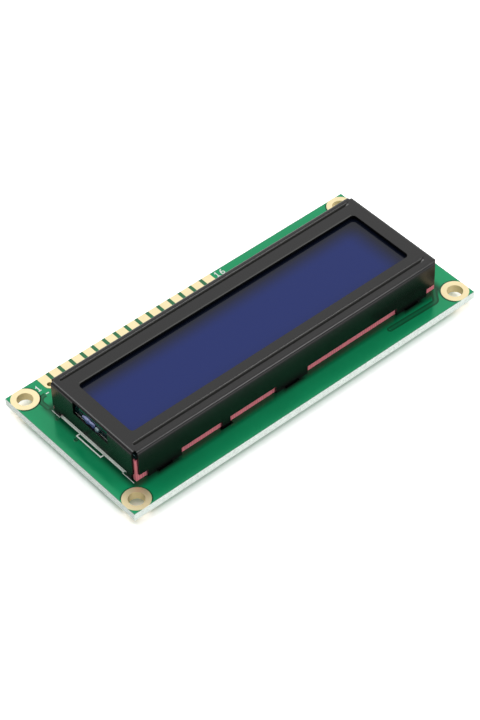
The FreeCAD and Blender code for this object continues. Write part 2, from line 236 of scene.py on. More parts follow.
@dataclass(frozen=True)
class Finish:
    """A material of one piece, with the plain values of its shader.

    Attributes:
        name: what the real material is called.
        colour: its sRGB colour.
        roughness: spread of its reflection.
        metallic: 1 for bare metal.
        ior: refraction index, left at the default on metal.
        transmission: share of light that passes through.
        subsurface: share of light that wanders inside before it comes out.
        wander_mm: how far that light wanders.
        grain: unevenness of the surface, if it shows.
        cloud: unevenness of the colour.
    """

    name: str
    colour: str
    roughness: float = 0.5
    metallic: float = 0.0
    ior: float = 1.5
    transmission: float = 0.0
    subsurface: float = 0.0
    wander_mm: float = 0.5
    grain: Grain | None = None
    cloud: Cloud = Cloud(4.0, 0.07, 3.0)

    def material(self) -> bpy.types.Material:
        """Builds the material: plain values on the shader's own sockets, then the pattern and the grain.

        Returns:
            The finished material.
        """
        made = bpy.data.materials.new(self.name)
        graph = Graph.of(made)
        graph.shader = graph.add("BsdfPrincipled", {
            "Base Color": linear(self.colour),
            "Roughness": self.roughness,
            "Metallic": self.metallic,
            "IOR": self.ior,
            "Transmission Weight": self.transmission,
            "Subsurface Weight": self.subsurface,
            "Subsurface Scale": self.wander_mm * MM,
        })
        graph.add("OutputMaterial", {"Surface": graph.shader.outputs[0]})
        self.pattern(graph)
        if self.grain is not None:
            self.roughen(graph, self.grain)
        return made

    def pattern(self, graph: Graph) -> None:
        """Gives the surface its colour pattern: a faint cloudiness, unless a finish draws its own."""
        graph.feed(Input.COLOUR, graph.clouded(self.colour, self.cloud))

    def roughen(self, graph: Graph, grain: Grain) -> None:
        """Adds the grain: noise bumps of its size, and a swing of the roughness where it has one."""
        noise = graph.noise(grain.size_mm, grain.detail)
        bump = graph.add("Bump", {"Height": noise, "Distance": grain.depth_mm * MM, "Strength": 1.0})
        graph.feed(Input.NORMAL, bump.outputs[0])
        if grain.blur > 0:
            swing = graph.ranged(noise, self.roughness - grain.blur, self.roughness + grain.blur)
            graph.feed(Input.ROUGHNESS, swing)


@dataclass(frozen=True)
class Area:
    """A rectangle seen from above, with the shade that it casts round itself.

    Attributes:
        centre_mm: x and y of its middle.
        half_mm: half its length and depth.
        reach_mm: how far its shade reaches beyond it.
        darkest: share of a colour that is left at its edge.
    """

    centre_mm: tuple[float, float]
    half_mm: tuple[float, float]
    reach_mm: float = 1.0
    darkest: float = 1.0

    def distance(self, graph: Graph) -> Output:
        """Distance from the rectangle in metres, negative inside: the larger of those along x and y."""
        beyond = []
        for axis, centre, half in zip(graph.axes, self.centre_mm, self.half_mm):
            away = graph.step("ABSOLUTE", graph.step("SUBTRACT", axis, centre * MM))
            beyond.append(graph.step("SUBTRACT", away, half * MM))
        return graph.together("MAXIMUM", beyond)

    def inside(self, graph: Graph) -> Output:
        """1 inside the rectangle and 0 elsewhere."""
        return graph.step("LESS_THAN", self.distance(graph), 0.0)

    def shade(self, graph: Graph) -> Output:
        """Share of a colour that is left: least up to the edge, then softly more until the shade ends."""
        return graph.ranged(self.distance(graph), self.darkest, 1.0, 0.0, self.reach_mm * MM, Curve.SOFT)


@dataclass(frozen=True)
class SolderMask(Finish):
    """Clear green lacquer over copper and glass-fibre laminate.

    On the upper face the mask is darkened by painted shade at the foot of the bezel's walls and round the
    slots for its tabs. The board's cut edges show the laminate: pale, slightly green resin with the ends of
    the glass bundles as fine specks.

    Attributes:
        laminate: colour of the cut edge.
        bundle_mm: distance between the glass bundles' ends.
        slot_shade_and_dust: colour of the walls of the slots: painted shade, with dust.
        slot_mm: an upright face further inside the outline than this belongs to a slot.
        bare_rim: colour of the narrow rim that the mask leaves free along the board's edge.
        rim_mm: width of that rim.
        flat: a face is flat if the upward part of its normal is larger than this.
        outline: the board's outline.
        painted_shade_areas: areas round which the mask is darkened by painted shade.
    """

    cloud: Cloud = Cloud(9.0, 0.12)
    laminate: str = "#EEF8F1"
    bundle_mm: float = 0.45
    slot_shade_and_dust: str = "#23352A"
    slot_mm: float = 1.0
    bare_rim: str = "#4E9474"
    rim_mm: float = 0.14
    flat: float = 0.5
    outline: Area = Area((0.0, 0.0), (40.0, 18.0))
    # Painted shade: the mask darkens towards the bezel's walls and round the slots for its tabs.
    painted_shade_areas: tuple[Area, ...] = (
        Area((0.0, -1.1), (35.5, 11.85), 1.7, 0.2),
        Area((-28.6, -12.95), (1.9, 0.1), 1.1, 0.25),
        Area((0.1, -12.95), (1.8, 0.1), 1.1, 0.25),
        Area((29.1, -12.95), (1.7, 0.1), 1.1, 0.25),
    )

    def pattern(self, graph: Graph) -> None:
        """Green where the face looks up or down, laminate where it looks sideways."""
        # Painted shade near the walls and slots, on the upper face only.
        shade = graph.together("MULTIPLY", [shading_area.shade(graph) for shading_area in self.painted_shade_areas])
        above = graph.step("GREATER_THAN", graph.upward, self.flat)
        shade = graph.add("Mix", {0: above, 2: 1.0, 3: shade}, data_type="FLOAT").outputs[0]
        green = graph.scaled(graph.clouded(self.colour, self.cloud), shade)
        inward = self.outline.distance(graph)
        covered = graph.step("LESS_THAN", inward, -self.rim_mm * MM)
        green = graph.mixed(covered, linear(self.bare_rim), green)

        closer_in_height, dull, scale = 2.6, 0.75, 1 / (self.bundle_mm * MM)
        stretch = graph.add("Mapping", {"Vector": graph.place, "Scale": (1.0, 1.0, closer_in_height)})
        cells = graph.add("TexVoronoi", {"Vector": stretch.outputs[0], "Scale": scale})
        specks = graph.ranged(cells.outputs["Distance"], 0.72, 1.03, 0.1, 0.6)
        # The walls of the slots take a dark colour: painted shade, with dust.
        slotted = graph.step("LESS_THAN", inward, -self.slot_mm * MM)
        fibres = graph.mixed(slotted, graph.scaled(linear(self.laminate), specks), linear(self.slot_shade_and_dust))

        face = graph.step("GREATER_THAN", graph.step("ABSOLUTE", graph.upward), self.flat)
        graph.feed(Input.COLOUR, graph.mixed(face, fibres, green))
        graph.feed(Input.ROUGHNESS, graph.ranged(face, dull, self.roughness))
        graph.feed(Input.METALLIC, graph.ranged(face, 0.0, self.metallic))


@dataclass(frozen=True)
class LayeredElastomer(Finish):
    """Pink silicone strip with thin black conducting layers across it.

    The real layers are about 0.1 mm apart, too fine to show, so they are drawn at the layer pitch below.

    Attributes:
        layer: colour of the conducting layers.
        pitch_mm: distance between the layers as drawn.
    """

    layer: str = "#A8505F"
    pitch_mm: float = 0.5

    def pattern(self, graph: Graph) -> None:
        """Sine bands along the strip, broken up by noise."""
        scale = WAVE_SPACING / (self.pitch_mm * MM)
        inputs = {"Vector": graph.place, "Scale": scale, "Distortion": 1.0, "Detail": 1.0}
        wave = graph.add("TexWave", inputs, bands_direction="X").outputs[1]
        share = graph.step("MULTIPLY", wave, graph.noise(1.5, 3.0))
        graph.feed(Input.COLOUR, graph.mixed(share, linear(self.colour), linear(self.layer)))


@dataclass(frozen=True)
class CrownedGlue(Finish):
    """Cured glue, paler where it faces up: painted light from above.

    Attributes:
        painted_top_light: colour of the painted light where the surface faces up.
        turn: range of the normal's upward part over which the colour changes.
    """

    painted_top_light: str = "#BBC7FA"
    turn: tuple[float, float] = (0.25, 0.8)

    def pattern(self, graph: Graph) -> None:
        """Painted light colour by how far the surface faces up, broken by slow noise."""
        waver = 0.25
        height = graph.step("ADD", graph.upward, graph.ranged(graph.noise(0.5, 1.0), -waver, waver))
        share = graph.ranged(height, 0.0, 1.0, *self.turn, Curve.SOFT)
        graph.feed(Input.COLOUR, graph.mixed(share, linear(self.colour), linear(self.painted_top_light)))


@dataclass(frozen=True)
class PressedLacquer(Finish):
    """Black lacquer on the stamped sheet, with painted light in the grooves and along the window's back edge.

    Attributes:
        painted_light: colour of the painted light.
        grooves: the two grooves, each with painted light from a little below the top face.
        edge: the narrow strip along the window's back edge that carries a painted highlight.
        painted_light_top_mm: height below which the grooves carry the painted light.
    """

    cloud: Cloud = Cloud(6.0, 0.1)
    # Painted light: a paler colour in the grooves and along the window's back edge.
    painted_light: str = "#3C3C3A"
    grooves: tuple[Area, ...] = (Area((0.0, -10.85), (33.6, 0.36)), Area((0.0, 9.25), (33.6, 0.36)))
    edge: Area = Area((0.0, 6.46), (31.9, 0.13))
    painted_light_top_mm: float = 10.28

    def pattern(self, graph: Graph) -> None:
        """Black with a faint cloudiness; painted light in the grooves and on the window's back edge."""
        inside = graph.together("MAXIMUM", [groove.inside(graph) for groove in self.grooves])
        below = graph.step("LESS_THAN", graph.axes[2], self.painted_light_top_mm * MM)
        pressed = graph.step("MULTIPLY", inside, below)
        share = graph.step("MAXIMUM", pressed, self.edge.inside(graph))
        black = graph.clouded(self.colour, self.cloud)
        graph.feed(Input.COLOUR, graph.mixed(share, black, linear(self.painted_light)))


@dataclass(frozen=True)
class Fade:
    """One shaded edge of the display's window.

    Attributes:
        axis: 0 for the left and right edges, 1 for the front and back ones.
        edge_mm: where the shade is full.
        width_mm: how far the shade reaches from there, with the sign of its direction.
    """

    axis: int
    edge_mm: float
    width_mm: float

    def share(self, graph: Graph) -> Output:
        """Share of light: none at the edge, softly up to all of it where the shade ends."""
        start, end = self.edge_mm * MM, (self.edge_mm + self.width_mm) * MM
        return graph.ranged(graph.axes[self.axis], 0.0, 1.0, start, end, Curve.SOFT)


@dataclass(frozen=True)
class DisplayFilm(Finish):
    """Glossy polariser over the blue cell, whose depth lies in shade near the edges of its window.

    Attributes:
        rim: colour in the shade.
        fades: the shaded edges.
    """

    rim: str = "#090E1A"
    fades: tuple[Fade, ...] = (
        Fade(0, -33.0, 1.5), Fade(0, 32.4, -5.6), Fade(1, -9.1, 1.5), Fade(1, 6.4, -5.0),
    )

    def pattern(self, graph: Graph) -> None:
        """Blue in the middle; its share falls softly to nothing at each edge, by the product of the fades."""
        share = graph.together("MULTIPLY", [fade.share(graph) for fade in self.fades])
        graph.feed(Input.COLOUR, graph.mixed(share, linear(self.rim), linear(self.colour)))


# Glass-fibre laminate with a glossy green mask: the gloss carries the dark mirror image of the bezel's walls.
# Part of the light comes back from the copper under the mask, as a green sheen.
# Painted shade darkens this mask towards the bezel's walls and round the tab slots.
GREEN_MASK = SolderMask(
    "green solder mask on copper", "#0A9C64", roughness=0.17, metallic=0.28, ior=1.45,
    grain=Grain(1.2, 0.0012),
)
# The same mask where no copper lies under it: darker, and without the sheen.
MASK_GAP = Finish("green mask over bare laminate", "#055433", roughness=0.25, ior=1.36)
# The narrow strips of mask between the header pads: no copper below, and thin where they lap over the gold.
MASK_DAM = Finish("green mask dam between pads", "#2F7A4C", roughness=0.3, ior=1.4)
# The mask over a raised copper track: lies between mask on copper and mask on laminate.
MASK_TRACK = Finish("green mask over copper track", "#0C7047", roughness=0.22, metallic=0.15, ior=1.4)
# Immersion gold: a thin bright layer over nickel, satin from the etched copper below it.
GOLD = Finish(
    "immersion gold on copper", "#FAEABC", roughness=0.38, metallic=1.0, grain=Grain(0.25, 0.002, 3.0, 0.06)
)
# White epoxy ink, screen printed: matt and very slightly uneven.
WHITE_INK = Finish("white epoxy print", "#E6EEE8", roughness=0.6, grain=Grain(0.2, 0.004))
# Sheet steel with a baked black lacquer: satin, so its bends catch long soft highlights. Painted light in its
# grooves and a painted highlight along the window's back edge.
LACQUER = PressedLacquer("black baked lacquer on sheet steel", "#0B0A0A", roughness=0.23, ior=1.52)
# A darker copy of the lacquer for the upright walls, less reflective and a little rougher: painted shade.
SHADED_WALL_LACQUER = Finish("shaded black lacquer on upright walls", "#080808", roughness=0.26, ior=1.28)
# Silicone rubber: matt, and light wanders in it.
ELASTOMER = LayeredElastomer(
    "layered pink silicone", "#F88C99", roughness=0.6, subsurface=0.15, grain=Grain(0.3, 0.01)
)
# Iodine film with a hard clear face: mirror gloss over a deep blue.
POLARISER = DisplayFilm("glossy polarising film over blue cell", "#082268", roughness=0.08, ior=1.38)
# The glass's ground top edge: frosted, so it catches light as a thin pale teal line.
GROUND_EDGE = Finish("ground glass edge", "#7F9A9E", roughness=0.35, ior=1.52)
# Soda-lime glass seen at its ground edge: deep teal, painted darker for the shade inside the bezel.
SHADED_GLASS = Finish("shaded soda-lime glass", "#173B3C", roughness=0.06, ior=1.52, transmission=0.5)
# UV-cured glue: milky and glossy.
SEAL = Finish("cured clear glue", "#93A6DC", roughness=0.15, transmission=0.2, subsurface=0.2)
# The same glue as a drop on the cell's end: deep blue painted for the blue cell's light in it, with pale
# violet painted light where it faces up.
SEAL_DROP = CrownedGlue("cured glue drop", "#26386E", roughness=0.1)
# Where it ran out to a bead, it is greyer, with whitish painted light where it faces up.
SEAL_BEAD = CrownedGlue("cured glue bead", "#5F7A86", painted_top_light="#C6DADF", roughness=0.15)
# Moulded white ABS of the lamp tray: matt.
TRAY = Finish("white moulded abs", "#E9ECE6", roughness=0.55, grain=Grain(0.5, 0.004))
# White polyester film.
FILM = Finish("white polyester film", "#EEF1F2", roughness=0.4)
# Cast acrylic sheet with polished edges: clear.
ACRYLIC = Finish("clear acrylic", "#CFE0EE", roughness=0.05, ior=1.49, transmission=0.7)
# Moulded lamp body, pale epoxy.
LAMP = Finish("pale lamp epoxy", "#E8E3C4", roughness=0.35)
# Dull tin plate of legs and end caps.
TIN = Finish("tin plate", "#C9C9C4", roughness=0.42, metallic=1.0, grain=Grain(0.15, 0.003))
# Solder: bright and wavy, from how it froze.
SOLDER = Finish("tin solder", "#D3D4D4", roughness=0.22, metallic=1.0, grain=Grain(0.5, 0.02))
# Polished silicon of a die.
SILICON = Finish("polished silicon", "#4A4D57", roughness=0.15, metallic=0.6)
# Poured epoxy: black, smooth with a few ripples.
EPOXY = Finish("black poured epoxy", "#151515", roughness=0.3, grain=Grain(1.6, 0.03))
# Black glaze of a chip resistor, fired on its ceramic.
GLAZE = Finish("black glaze on alumina", "#17181A", roughness=0.35)
# Bare ceramic of a chip capacitor: tan and matt.
CERAMIC = Finish("tan barium titanate ceramic", "#9A7B58", roughness=0.55, grain=Grain(0.1, 0.002))


@dataclass
class Shape:
    """A mesh in the making.

    Attributes:
        points: one row of x, y, z in millimetres for each vertex.
        quads: one row of four vertex numbers for each face.
    """

    points: np.ndarray = field(default_factory=lambda: np.zeros((0, 3)))
    quads: np.ndarray = field(default_factory=lambda: np.zeros((0, 4), int))

    def __add__(self, other: "Shape") -> "Shape":
        """Both shapes as one, side by side."""
        quads = np.concatenate([self.quads, other.quads + len(self.points)])
        return Shape(np.concatenate([self.points, other.points]), quads)

    @classmethod
    def all_of(cls, shapes: Iterable["Shape"]) -> "Shape":
        """Several shapes as one."""
        return sum(shapes, cls())

    @classmethod
    def wrapped(cls, rings: np.ndarray, looped: bool = False, capped: bool = False) -> "Shape":
        """Surface through rings of points: each point is joined to the next on its ring and on the next ring.

        Args:
            rings: x, y and z of each point of each ring.
            looped: whether the last ring is joined to the first.
            capped: whether a face closes the first and the last ring, which have four points.

        Returns:
            The surface.
        """
        count, sides = rings.shape[:2]
        here = np.arange(count if looped else count - 1)[:, None] * sides + np.arange(sides)
        there = (here + sides) % (count * sides)
        turn = np.roll(np.arange(sides), -1)
        quads = np.stack([here, here[:, turn], there[:, turn], there], 2).reshape(-1, 4)
        if capped:
            quads = np.concatenate([quads, [[3, 2, 1, 0], np.arange(4) + 4 * (count - 1)]])
        return cls(rings.reshape(-1, 3), quads)

    def mesh(self, name: str) -> bpy.types.Mesh:
        """The shape as a mesh in metres."""
        made = bpy.data.meshes.new(name)
        made.from_pydata((self.points * MM).tolist(), [], self.quads.tolist())
        return made


def linked(name: str, data: bpy.types.ID) -> bpy.types.Object:
    """Makes an object of a mesh, camera or light and puts it into the scene."""
    made = bpy.data.objects.new(name, data)
    bpy.context.scene.collection.objects.link(made)
    return made


def placed(name: str, shape: Shape, finish: Finish, smooth: bool = False) -> bpy.types.Object:
    """Makes a shape an object of the scene that rides on the module.

    Args:
        name: the piece's name.
        shape: its mesh in millimetres.
        finish: what it is made of.
        smooth: whether its faces shade as one curved surface.

    Returns:
        The new object.
    """
    mesh = shape.mesh(name)
    mesh.polygons.foreach_set("use_smooth", np.full(len(shape.quads), smooth))
    mesh.materials.append(finish.material())
    piece = linked(name, mesh)
    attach(piece, "root")
    log.info("made %s in %s", name, finish.name)
    return piece


def band(path: np.ndarray, width: float, low: float, high: float, closed: bool = False) -> Shape:
    """Flat-topped band carried along a path on the board.

    Each point of the path is moved half the width to either side, along the sum of the normals of the two
    runs that meet there divided by one plus their scalar product, which keeps the width at a corner.

    Args:
        path: x and y of the band's middle line, in millimetres.
        width: width of the band.
        low: height of its lower face.
        high: height of its upper face.
        closed: whether the path's last point joins its first.

    Returns:
        A closed shell with four corners at each point of the path.
    """
    runs = np.roll(path, -1, 0) - path if closed else np.diff(path, axis=0)
    runs = runs / np.linalg.norm(runs, axis=1, keepdims=True)
    left = np.stack([-runs[:, 1], runs[:, 0]], 1)
    before = np.roll(left, 1, 0) if closed else np.concatenate([left[:1], left])
    after = left if closed else np.concatenate([left, left[-1:]])
    offset = (before + after) / (1 + (before * after).sum(1, keepdims=True)) * width / 2
    corners = [(1, low), (1, high), (-1, high), (-1, low)]
    rings = np.stack([
        np.concatenate([path + side * offset, np.full((len(path), 1), z)], 1) for side, z in corners
    ], 1)
    return Shape.wrapped(rings, looped=closed, capped=not closed)


def arc(cx: float, cy: float, radius: float, start: float, end: float, count: int = 24) -> np.ndarray:
    """Points on a circle: centre plus radius times cosine and sine of evenly spaced angles, in degrees."""
    angles = np.radians(np.linspace(start, end, count))
    return np.stack([cx + radius * np.cos(angles), cy + radius * np.sin(angles)], 1)


def turned(
    cx: float, cy: float, radii: np.ndarray, heights: np.ndarray, sides: int = 48, wobble: float = 0.0
) -> Shape:
    """Surface of revolution about an upright line.

    A point at angle t of ring i is the centre plus radii[i] times (cos t, sin t), at heights[i]. The radius
    also grows by one plus the wobble times a slow wave of t, as in a hand-poured drop.

    Args:
        cx: x of the axis.
        cy: y of the axis.
        radii: radius of each ring, from one end of the profile to the other.
        heights: height of each ring.
        sides: points on a ring.
        wobble: share of the radius by which the outline wavers.

    Returns:
        The surface, closed at a ring whose radius is nearly nothing.
    """
    t = np.linspace(0, 2 * np.pi, sides, endpoint=False)
    waver = 1 + wobble * (np.sin(2 * t + 0.7) * 0.6 + np.sin(3 * t + cx) * 0.4)
    reach = radii[:, None] * waver
    level = np.repeat(heights[:, None], sides, 1)
    return Shape.wrapped(np.stack([cx + reach * np.cos(t), cy + reach * np.sin(t), level], 2))


@dataclass
class Assembly:
    """Pieces of the module that belong together.

    Attributes:
        finishes: material of each CAD node that is shown as it is.
    """

    finishes: ClassVar[dict[str, Finish]] = {}

    def build(self) -> None:
        """Gives the CAD nodes their materials, then adds the scene's own pieces."""
        for node, finish in self.finishes.items():
            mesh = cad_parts[node].data
            mesh.materials.clear()
            mesh.materials.append(finish.material())
            log.info("dressed %s in %s", node, finish.name)
        self.extend()

    def extend(self) -> None:
        """Adds the scene's own pieces: none, unless an assembly has some."""


@dataclass
class CircuitBoard(Assembly):
    """The board with its plating, white print and what shows through its mask.

    Attributes:
        top: height of the board's upper face.
        bottom: height of its lower face.
        back: y of its back edge.
        line: width of the print's lines.
        right_start: x and y where the track at the right starts.
        via_places: x and y of the vias on the upper face.
        dam: width of the mask between two header pads, with what laps over them.
        dam_front: y where the mask between two pads begins.
    """

    top: float
    bottom: float
    back: float
    line: float = 0.25
    right_start: tuple[float, float] = (22.0, -14.75)
    via_places: tuple[tuple[float, float], ...] = ((-36.75, 1.95), (-36.1, 8.0), (30.2, 14.6), (33.4, 12.9))
    dam: float = 0.72
    dam_front: float = 15.08
    finishes: ClassVar[dict[str, Finish]] = {
        "circuit_board": GREEN_MASK, "mounting_hole_plating": GOLD, "header_pads": GOLD,
        "front_contact_pads": GOLD, "rear_contact_pads": GOLD,
    }

    @classmethod
    def from_frame(cls) -> "CircuitBoard":
        """Takes the board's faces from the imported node."""
        low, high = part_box("circuit_board")
        return cls(top=high.z / MM, bottom=low.z / MM, back=high.y / MM)

    def extend(self) -> None:
        """Adds print, mask gaps, tracks, vias and the mask between the pads."""
        placed("white_print", self.print_lines() + self.numerals(), WHITE_INK)
        placed("mask_gaps", self.gaps(), MASK_GAP)
        placed("mask_tracks", self.tracks(), MASK_TRACK)
        placed("vias", self.vias(), MASK_GAP, smooth=True)
        placed("mask_dams", self.dams(), MASK_DAM)

    def under_mask(self, path: np.ndarray, width: float) -> Shape:
        """Band that stands out of the upper face as little as a track under the mask does."""
        return band(path, width, self.top, self.top + RELIEF)

    def print_lines(self) -> Shape:
        """White lines at the bezel's left wall: its outline, half under the wall, and a frame joined to it.

        Beside the wall's two feet the outline goes on as a thin line, because the rest of it lies under them.
        Each row holds a line's width, as a share of the usual one, and its points. The last one is a dash.
        """
        lines = (
            (1.5, [(-35.24, -9.4), (-35.24, 9.3)]),
            (0.4, [(-35.57, -12.5), (-35.57, -9.3)]),
            (0.4, [(-35.57, 8.0), (-35.57, 10.2)]),
            (1.0, [(-35.3, 2.6), (-36.1, 2.6), (-36.1, -4.05), (-35.3, -4.05)]),
            (1.0, [(-33.9, 14.1), (-33.3, 14.1)]),
        )
        high = self.top + INK
        return Shape.all_of(band(np.array(path), share * self.line, self.top, high) for share, path in lines)

    def numerals(self) -> Shape:
        """The pin numbers 1 and 16 at the ends of the header row.

        A second stroke lies a little lower than the first, so that no two faces share a place.
        """
        width, lower = 0.22, 0.15
        one = [np.array([(-0.28, 0.32), (0.0, 0.6), (0.0, -0.6)]), np.array([(-0.3, -0.6), (0.3, -0.6)])]
        bowl = arc(0.0, -0.27, 0.33, 0, 345, 24)
        stem = np.array([(0.28, 0.62), (0.05, 0.54), (-0.14, 0.36), (-0.27, 0.08), (-0.32, -0.2)])
        shape = Shape()
        for strokes, x, y in ((one, -34.2, 16.0), (one, 8.1, 16.95), ([bowl, stem], 9.3, 16.95)):
            for order, path in enumerate(strokes):
                high = self.top + INK * (1 - lower * order)
                shape = shape + band(path + (x, y), width, self.top, high, closed=path is bowl)
        return shape

    def gaps(self) -> Shape:
        """Dark outlines in the mask: round the gold rings, and round the tracks that stand free in it."""
        hole_x, hole_y = 37.5, 15.5
        shape = Shape()
        for sx in (-1, 1):
            for sy in (-1, 1):
                middle = 180 + math.degrees(math.atan2(sy, sx))
                ring = arc(sx * hole_x, sy * hole_y, 2.73, middle - 97, middle + 97, 40)
                shape = shape + self.under_mask(ring, 0.26)
        for side in (-1, 1):
            shape = shape + self.under_mask(self.right_track(side * 0.42), 0.36)
            shape = shape + self.under_mask(self.left_track(side * 0.36), 0.28)
        return shape + self.under_mask(arc(*self.right_start, 0.42, 100, 260, 12), 0.36)

    def tracks(self) -> Shape:
        """The two tracks themselves, as low flat bands."""
        return self.under_mask(self.right_track(0.0), 0.48) + self.under_mask(self.left_track(0.0), 0.44)

    def right_track(self, aside: float) -> np.ndarray:
        """Middle line of the track at the right, moved aside: straight, then up through one bend."""
        x, y = self.right_start
        bend = arc(32.6, -14.1, 1.0 - aside, -93, -36, 12)
        end = (35.1 - 0.8 * aside, -12.3 + 0.6 * aside)
        return np.concatenate([np.array([(x, y + aside)]), bend, np.array([end])])

    def left_track(self, aside: float) -> np.ndarray:
        """Middle line of the track at the left, moved aside: out of the bezel's shade and to the front."""
        bend = arc(-34.5, 12.7, 1.3 + aside, 98, 185, 14)
        return np.concatenate([np.array([(-34.1, 14.0 + aside)]), bend, np.array([(-35.72 - aside, 10.9)])])

    def vias(self) -> Shape:
        """Small plated holes under the mask, turned about an upright line: a low ring with a dip in it."""
        radii = np.array([0.42, 0.34, 0.24, 0.16, 0.08, 0.001])
        heights = self.top + np.array([0.0, 0.03, 0.035, 0.015, 0.005, 0.004])
        return Shape.all_of(turned(x, y, radii, heights, sides=24) for x, y in self.via_places)

    def dams(self) -> Shape:
        """Strips of mask between the header pads, which lap over their edges up to the board's back edge."""
        high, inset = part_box("header_pads")[1].z / MM + RELIEF, 0.02
        front, back = self.dam_front, self.back - inset
        gaps = FIRST_PIN + PITCH * (np.arange(PINS - 1) + 0.5)
        return Shape.all_of(band(np.array([(x, front), (x, back)]), self.dam, self.top, high) for x in gaps)


